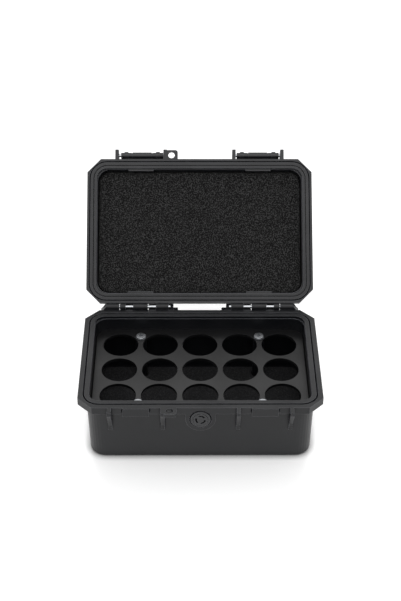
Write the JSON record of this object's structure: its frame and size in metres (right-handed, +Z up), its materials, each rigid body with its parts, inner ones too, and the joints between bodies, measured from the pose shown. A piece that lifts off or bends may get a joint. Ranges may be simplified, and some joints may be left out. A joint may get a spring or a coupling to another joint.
{
  "type": "miniature carry case",
  "caption": "Small black hard-shell case, open, with a plate of round holes for miniatures, a foam-lined lid, pivoting latches and pinned hinges.",
  "frame": {"origin": "centre of the flat underside that the base stands on", "axes": "+X to the right as seen from the latch side, +Y from the latches towards the hinges, +Z up out of the base"},
  "size_m": [0.225, 0.2975, 0.1825],
  "materials": {
    "shell": "fine satin texture",
    "trim": "satin",
    "plate": "matte",
    "pad": "matte",
    "foam": "open-cell foam",
    "seal": "satin",
    "membrane": "matte",
    "brass": "satin",
    "steel": "polished"
  },
  "bodies": {
    "base": {"base_shell": "shell", "floor_pad": "pad", "insert_plate": "plate", "plate_screws": "steel", "plate_washers": "steel", "threaded_inserts": "brass", "valve_body": "trim", "valve_cap": "trim", "valve_membrane": "membrane", "valve_seal": "seal", "hinge_pin_left": "steel", "hinge_pin_right": "steel"},
    "lid": {"lid_shell": "shell", "lid_gasket": "seal", "lid_foam": "foam", "latch_pin_left": "steel", "latch_pin_right": "steel"},
    "latch_left": {"latch_left": "trim"},
    "latch_right": {"latch_right": "trim"}
  },
  "joints": [
    {"name": "lid_hinge", "type": "hinge", "parent": "base", "child": "lid", "pos_m": [0, 0.0766, 0.0695], "axis": [1, 0, 0], "range_deg": [0, 135]},
    {"name": "latch_left_pivot", "type": "hinge", "parent": "lid", "child": "latch_left", "pos_m": [-0.0588, 0.19158, 0.17387], "axis": [1, 0, 0], "range_deg": [0, 180]},
    {"name": "latch_right_pivot", "type": "hinge", "parent": "lid", "child": "latch_right", "pos_m": [0.0588, 0.19158, 0.17387], "axis": [1, 0, 0], "range_deg": [0, 180]}
  ]
}
